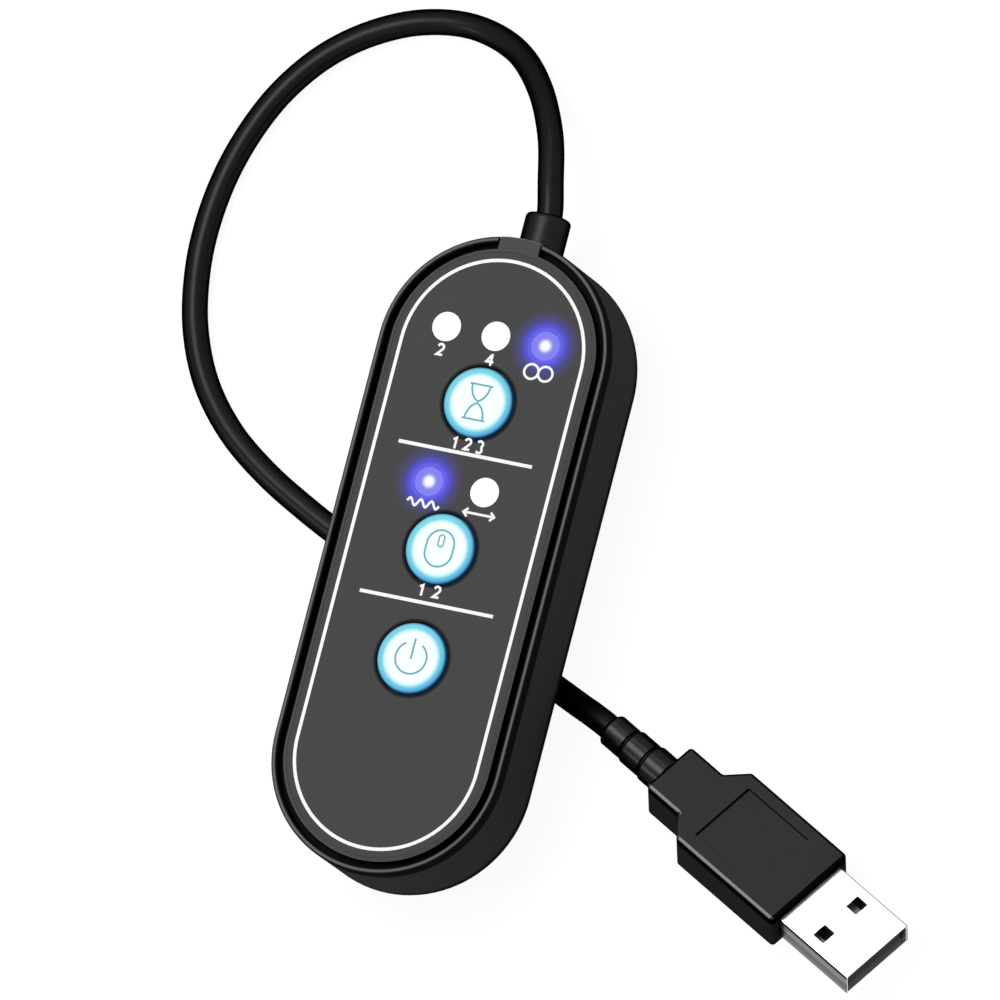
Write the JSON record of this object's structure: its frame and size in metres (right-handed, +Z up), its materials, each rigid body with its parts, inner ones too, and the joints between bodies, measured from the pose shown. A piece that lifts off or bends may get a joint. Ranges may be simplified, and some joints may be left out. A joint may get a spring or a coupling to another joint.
{
  "type": "mouse jiggler",
  "caption": "Stadium-shaped desk gadget with lit push buttons, indicator windows and a short captive cord that ends in a rectangular plug.",
  "frame": {"origin": "on the desk, under the middle of the housing", "axes": "+Y along the housing towards the cord exit, +Z up out of the face with the buttons, +X to the right as the face is read"},
  "size_m": [0.1298, 0.1258, 0.0207],
  "materials": {
    "housing_black": "satin black moulded plastic, slightly glossy",
    "cover_grey": "dark grey moulded plastic, matt",
    "label_grey": "dark grey printed overlay, smooth and matt",
    "print_white": "white screen-printed ink",
    "window_white": "milky white diffuser, smooth",
    "window_lit": "milky diffuser lit blue-violet from behind",
    "button_cyan": "translucent cyan plastic, lit from behind",
    "button_face": "milky white inlay, lit from behind",
    "icon_ink": "thin teal screen print",
    "switch_plastic": "black moulded plastic",
    "spring_steel": "plain bright steel",
    "lamp_white": "small moulded lamp body",
    "board_green": "green solder mask",
    "chip_black": "black moulded chip",
    "chip_brown": "fired ceramic chip",
    "connector_cream": "cream nylon",
    "lead_copper": "thin insulated wire",
    "foot_rubber": "matt black rubber",
    "cord_black": "black moulded jacket, semi-gloss",
    "plug_black": "black overmould, satin",
    "shell_metal": "bright nickel-plated sheet metal",
    "tongue_black": "black moulded plastic",
    "contact_gold": "gold-plated contact strip"
  },
  "bodies": {
    "housing": {"base_shell": "housing_black", "top_cover": "cover_grey", "face_label": "label_grey", "label_lines": "print_white", "caption_marks": "print_white", "window_time_1": "window_white", "window_time_2": "window_white", "window_time_3": "window_lit", "window_mode_1": "window_lit", "window_mode_2": "window_white", "time_dome": "spring_steel", "mode_dome": "spring_steel", "power_dome": "spring_steel", "switch_bodies": "switch_plastic", "button_lamps": "lamp_white", "indicator_lamps": "lamp_white", "circuit_board": "board_green", "controller_chip": "chip_black", "crystal": "spring_steel", "chip_parts": "chip_brown", "lead_connector": "connector_cream", "cord_leads": "lead_copper", "housing_screws": "spring_steel", "rubber_feet": "foot_rubber", "strain_relief": "cord_black", "usb_cord": "cord_black", "plug_boot": "cord_black", "plug_overmould": "plug_black", "plug_shell": "shell_metal", "plug_tongue": "tongue_black", "plug_contacts": "contact_gold"},
    "time_button": {"time_cap": "button_cyan", "time_face": "button_face", "time_icon": "icon_ink", "time_plunger": "switch_plastic"},
    "mode_button": {"mode_cap": "button_cyan", "mode_face": "button_face", "mode_icon": "icon_ink", "mode_plunger": "switch_plastic"},
    "power_button": {"power_cap": "button_cyan", "power_face": "button_face", "power_icon": "icon_ink", "power_plunger": "switch_plastic"}
  },
  "joints": [
    {"name": "time_press", "type": "slide", "parent": "housing", "child": "time_button", "axis": [0, 0, -1], "range_m": [0, 0.00025], "stiffness_N_per_m": 2500, "deforming": ["time_dome"]},
    {"name": "mode_press", "type": "slide", "parent": "housing", "child": "mode_button", "axis": [0, 0, -1], "range_m": [0, 0.00025], "stiffness_N_per_m": 2500, "deforming": ["mode_dome"]},
    {"name": "power_press", "type": "slide", "parent": "housing", "child": "power_button", "axis": [0, 0, -1], "range_m": [0, 0.00025], "stiffness_N_per_m": 2500, "deforming": ["power_dome"]}
  ]
}
